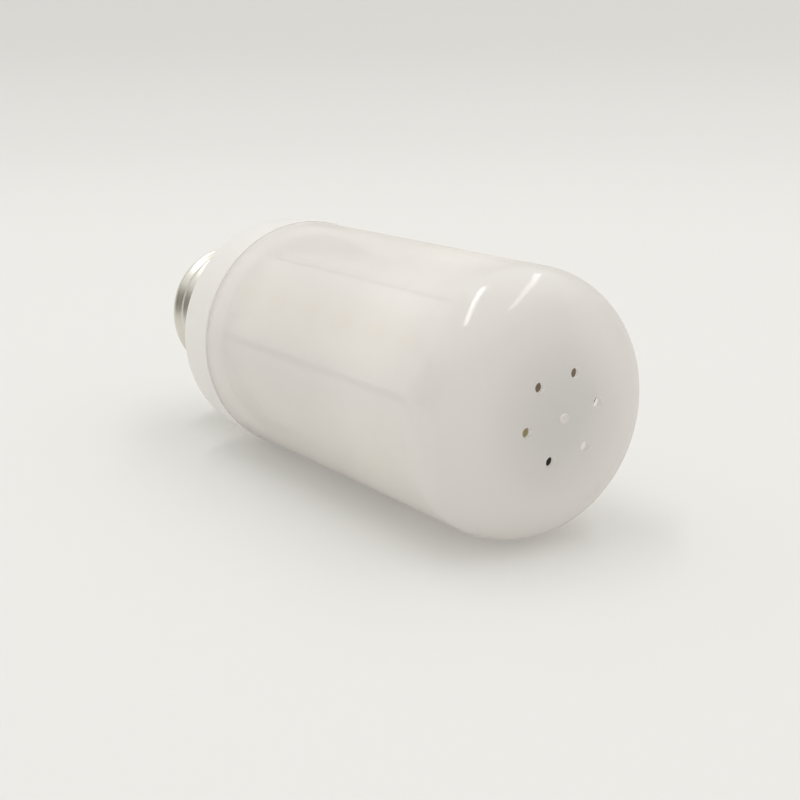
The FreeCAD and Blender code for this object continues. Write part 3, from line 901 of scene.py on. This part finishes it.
def moulded(name: str, lead_axis: Along, low: float, high: float) -> Finish:
    """A black moulded chip whose leads stand out past two planes."""
    return Finish(name, TIN, roughness=0.35, metallic=1.0, zones=(
        Zone(Slab(lead_axis, low, high), BLACK_MOULD, 0.55),))


def insulated(name: str, colour: Colour, low: float, high: float) -> Finish:
    """An insulated wire whose ends are stripped and tinned past two planes across the axis."""
    return Finish(name, TIN, roughness=0.4, metallic=1.0, zones=(
        Zone(Slab(Along.X, low, high), colour, 0.45),))


@dataclass
class Internals:
    """The finishes of the CAD pieces that keep their own form."""

    finishes: dict[str, Finish] = field(default_factory=lambda: {
        "cap_insulator": Finish(
            "black_glass", (0.012, 0.012, 0.014), roughness=0.08, mottle=0.2, coat=0.5),
        "centre_contact": Finish(
            "tinned_brass", (0.74, 0.60, 0.34), roughness=0.3, metallic=1.0, mottle=0.12, zones=(
                tinned(Barrel(Along.X, ON_AXIS, NEAR, 2.65 * MM), 0.35),)),
        "base_board": Finish("board_white", (0.92, 0.905, 0.87), roughness=0.4, zones=(
            tinned(Barrel(Along.X, ON_AXIS, 4.0 * MM, 4.6 * MM), 0.35),
            tinned(LedPatch(along=(NEAR, FAR), across=(0.0, 1.6 * MM),
                            out=(14.6 * MM, 14.75 * MM)), 0.35))),
        "drum_top_plate": Finish("top_board_tan", (0.27, 0.205, 0.15), roughness=0.4, zones=(
            Zone(Barrel(Along.X, (4.0 * MM, -6.3 * MM), NEAR, 2.4 * MM), (0.44, 0.39, 0.20)),
            Zone(Barrel(Along.X, (8.7 * MM, -11.5 * MM), NEAR, 2.4 * MM), (0.01, 0.01, 0.012),
                 0.5))),
        "led_emitters": Finish("led_package", (0.86, 0.84, 0.78), roughness=0.4, zones=(
            Zone(LedPatch(along=(0.0, 1.3 * MM), across=(0.0, 1.0 * MM), out=(16.6 * MM, FAR)),
                 (0.93, 0.66, 0.13), 0.3),
            tinned(LedPatch(along=(1.6 * MM, FAR), across=(0.0, FAR), out=(0.0, 16.5 * MM)),
                   0.3))),
        "board_screws": Finish("screw_steel", (0.55, 0.55, 0.54), roughness=0.3, metallic=1.0),
        "driver_board": Finish(
            "board_green", (0.04, 0.17, 0.07), roughness=0.35, coat=0.3, zones=(
                Zone(Slab(Along.Z, -0.42 * MM, 0.42 * MM), (0.50, 0.45, 0.26), 0.7),)),
        "smoothing_capacitor": Finish(
            "capacitor_sleeve", (0.02, 0.025, 0.05), roughness=0.3, zones=(
                Zone(Slab(Along.Y, -1.3 * MM, -0.75 * MM), (0.60, 0.60, 0.58), 0.35),
                Zone(Slab(Along.X, -15.6 * MM, -15.35 * MM), (0.75, 0.75, 0.74), 0.25, 1.0),
                tinned(Slab(Along.X, -6.4 * MM, 0.0), 0.3))),
        "choke": Finish("ferrite", FERRITE, roughness=0.5, zones=(
            Zone(Barrel(Along.Z, (-0.2 * MM, -4.6 * MM), NEAR, 2.36 * MM), COPPER, 0.3, 1.0),
            Zone(Slab(Along.Z, 5.4 * MM, 5.6 * MM), FERRITE, 0.5),)),
        "fuse_resistor": Finish("resistor_body", (0.18, 0.32, 0.24), roughness=0.5, zones=(
            Zone(Slab(Along.X, -15.3 * MM, -14.7 * MM), (0.28, 0.12, 0.05), 0.5),
            Zone(Slab(Along.X, -14.1 * MM, -13.5 * MM), BLACK_BAND, 0.5),
            Zone(Slab(Along.X, -12.9 * MM, -12.3 * MM), BLACK_BAND, 0.5),
            Zone(Slab(Along.X, -11.3 * MM, -10.7 * MM), (0.60, 0.42, 0.12), 0.4, 0.6))),
        "driver_chip": moulded("chip_mould", Along.Y, -6.81 * MM, -2.89 * MM),
        "bridge_rectifier": moulded("bridge_mould", Along.Y, -2.01 * MM, 2.01 * MM),
        "controller_chip": moulded("controller_mould", Along.Y, 5.99 * MM, 9.91 * MM),
        "tilt_sensor": Finish("sensor_can", (0.78, 0.62, 0.30), roughness=0.22, metallic=1.0),
        "live_wire": insulated("red_wire", (0.50, 0.02, 0.02), -22.4 * MM, -17.6 * MM),
        "neutral_wire": insulated("black_wire", (0.015, 0.015, 0.015), -12.4 * MM, -6.6 * MM),
        "supply_wires": insulated("white_wire", (0.75, 0.75, 0.72), 1.6 * MM, 6.4 * MM),
    })
    strip: Finish = Finish("strip_white", (0.93, 0.915, 0.88), roughness=0.4, zones=(
        Zone(LedPatch(along=(0.0, FAR), across=(4.1 * MM, 4.5 * MM), out=(15.85 * MM, FAR)),
             (0.70, 0.68, 0.60)),
        tinned(LedPatch(along=(1.75 * MM, 2.35 * MM), across=(0.0, 1.1 * MM),
                        out=(15.85 * MM, FAR)), 0.3)))

    def dress(self) -> None:
        """Give each CAD node that keeps its own form its material."""
        for node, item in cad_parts.items():
            finish = self.finishes.get(node, self.strip if node.startswith("led_panel") else None)
            if finish is None:
                continue
            item.data.materials.clear()
            item.data.materials.append(finish.material())
            log.info("%s dressed as %s", node, finish.name)


@dataclass(frozen=True)
class Paper:
    """Studio paper that shines a little by itself, as painted light that lifts the bulb's shadow
    on it, and darkens toward the far rim as painted shade.
    """

    colour: Colour = (0.609, 0.602, 0.583)
    # Painted shade: the paper darkens as it rises toward the far rim.
    far_painted_shade_colour: Colour = (0.571, 0.562, 0.543)
    roughness: float = 0.95
    # The glow is painted light that lifts the bulb's shadow on the paper.
    glow: float = 0.30
    rise: tuple[float, float] = (-20 * MM, 70 * MM)

    def material(self) -> bpy.types.Material:
        """Build the paper's material.

        Returns:
            The finished material.
        """
        shade = Shade("studio_paper")
        height = shade.place()[Along.Z.value]
        colour = shade.tint(height.ramp(*self.rise), self.colour, self.far_painted_shade_colour)
        return shade.finish(shade.node("ShaderNodeBsdfPrincipled", {}, {
            "Base Color": colour, "Roughness": self.roughness, "Emission Color": colour,
            "Emission Strength": self.glow}))


@dataclass(frozen=True)
class Tube:
    """A long lamp under the ceiling that shines straight down."""

    name: str
    start: tuple[float, float]
    end: tuple[float, float]
    radiance: float
    height: float = 1.0
    width: float = 0.10

    def hang(self) -> None:
        """Add the lamp to the scene."""
        low, high = Vector((*self.start, self.height)), Vector((*self.end, self.height))
        run = high - low
        data = bpy.data.lights.new(self.name, "AREA")
        data.shape = "RECTANGLE"
        data.size, data.size_y = run.length, self.width
        data.energy = self.radiance * math.pi * run.length * self.width
        lamp = bpy.data.objects.new(self.name, data)
        lengthways = Matrix.Rotation(math.atan2(run.y, run.x), 4, "Z")
        lamp.matrix_world = Matrix.Translation((low + high) / 2) @ lengthways
        bpy.context.scene.collection.objects.link(lamp)


@dataclass
class Studio:
    """Floor with a raised rim all round, soft lamps and the camera."""

    distance: float = 245 * MM
    azimuth: float = -33.7
    elevation: float = 14.0
    target: Vector = field(default_factory=lambda: Vector((43.4 * MM, 0.0, -6.3 * MM)))
    focal_share: float = 1409.4 / 800
    sensor: float = 36.0
    nearest: float = 0.01
    floor_radius: float = 0.8
    floor_steps: int = 64
    floor_weld: float = 1e-5
    sweep: float = 1.5
    sweep_steps: int = 16
    paper: Paper = Paper()
    card_width: float = 0.66
    card_height: float = 0.45
    card_thickness: float = 0.004
    card_place: tuple[float, float] = (0.03, -0.75)
    card_finish: Finish = Finish("dark_card", (0.17, 0.145, 0.125), roughness=0.8)
    sky: float = 0.92
    sky_colour: Colour = (1.0, 0.995, 0.98)
    tubes: tuple[Tube, ...] = (
        Tube("tube_near", (-0.48, 0.125), (0.17, -0.517), 7.5),
        Tube("tube_far", (-0.506, 0.915), (0.637, 0.136), 3.8))

    def floor(self) -> None:
        """Spin the floor's section round the vertical through the bulb's middle."""
        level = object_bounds()[0][2]
        section = [(0.0, 0.0), (self.floor_radius, 0.0)]
        for step in range(1, self.sweep_steps + 1):
            turn = math.pi / 2 * step / self.sweep_steps
            section.append((self.floor_radius + self.sweep * math.sin(turn),
                            self.sweep * (1 - math.cos(turn))))
        corners = [(reach, 0.0, level + height) for reach, height in section]
        shape = Form.turned(corners, UP, self.floor_steps, self.floor_weld)
        for face in shape.faces:
            face.smooth = True
        ground = Form.placed("studio_floor", shape)
        ground.data.materials.append(self.paper.material())
        ground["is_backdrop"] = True

    def card(self) -> None:
        """Stand a dark card at the cap's side, out of view, which only reflections show."""
        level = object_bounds()[0][2]
        shape = bmesh.new()
        place = Matrix.Translation((*self.card_place, level + self.card_height / 2))
        facing = Matrix.Rotation(math.atan2(self.card_place[1], self.card_place[0]), 4, "Z")
        size = Matrix.Diagonal((self.card_thickness, self.card_width, self.card_height, 1.0))
        bmesh.ops.create_cube(shape, size=1.0, matrix=place @ facing @ size)
        card = Form.placed("studio_card", shape)
        card.data.materials.append(self.card_finish.material())
        card.visible_diffuse = card.visible_shadow = card.visible_camera = False
        card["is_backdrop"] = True

    def lights(self) -> None:
        """Even sky, and two long lamps whose reflections make the streaks on the shoulder."""
        world = bpy.data.worlds.new("studio_sky")
        bpy.context.scene.world = world
        world.use_nodes = True
        background = world.node_tree.nodes["Background"]
        background.inputs["Color"].default_value = (*self.sky_colour, 1.0)
        background.inputs["Strength"].default_value = self.sky
        for tube in self.tubes:
            tube.hang()

    def camera(self) -> None:
        """Place the camera where the photograph was taken from."""
        azimuth, elevation = math.radians(self.azimuth), math.radians(self.elevation)
        away = Vector((math.cos(elevation) * math.cos(azimuth),
                       math.cos(elevation) * math.sin(azimuth), math.sin(elevation)))
        data = bpy.data.cameras.new("camera")
        data.sensor_width = self.sensor
        data.lens = self.focal_share * self.sensor
        data.clip_start = self.nearest
        camera = bpy.data.objects.new("camera", data)
        place = self.target + away * self.distance
        aim = (-away).to_track_quat("-Z", "Y").to_matrix().to_4x4()
        camera.matrix_world = Matrix.Translation(place) @ aim
        bpy.context.scene.collection.objects.link(camera)
        bpy.context.scene.camera = camera

    def build(self) -> None:
        """Set up the floor, the card, the lamps, the camera and the view."""
        self.floor()
        self.card()
        self.lights()
        self.camera()
        bpy.context.scene.view_settings.view_transform = "Standard"


def main() -> None:
    """Build the bulb's pieces in order, then the studio."""
    Cover().build()
    Housing().build()
    ScrewShell().build()
    Internals().dress()
    Studio().build()


if __name__ == "__main__":
    main()
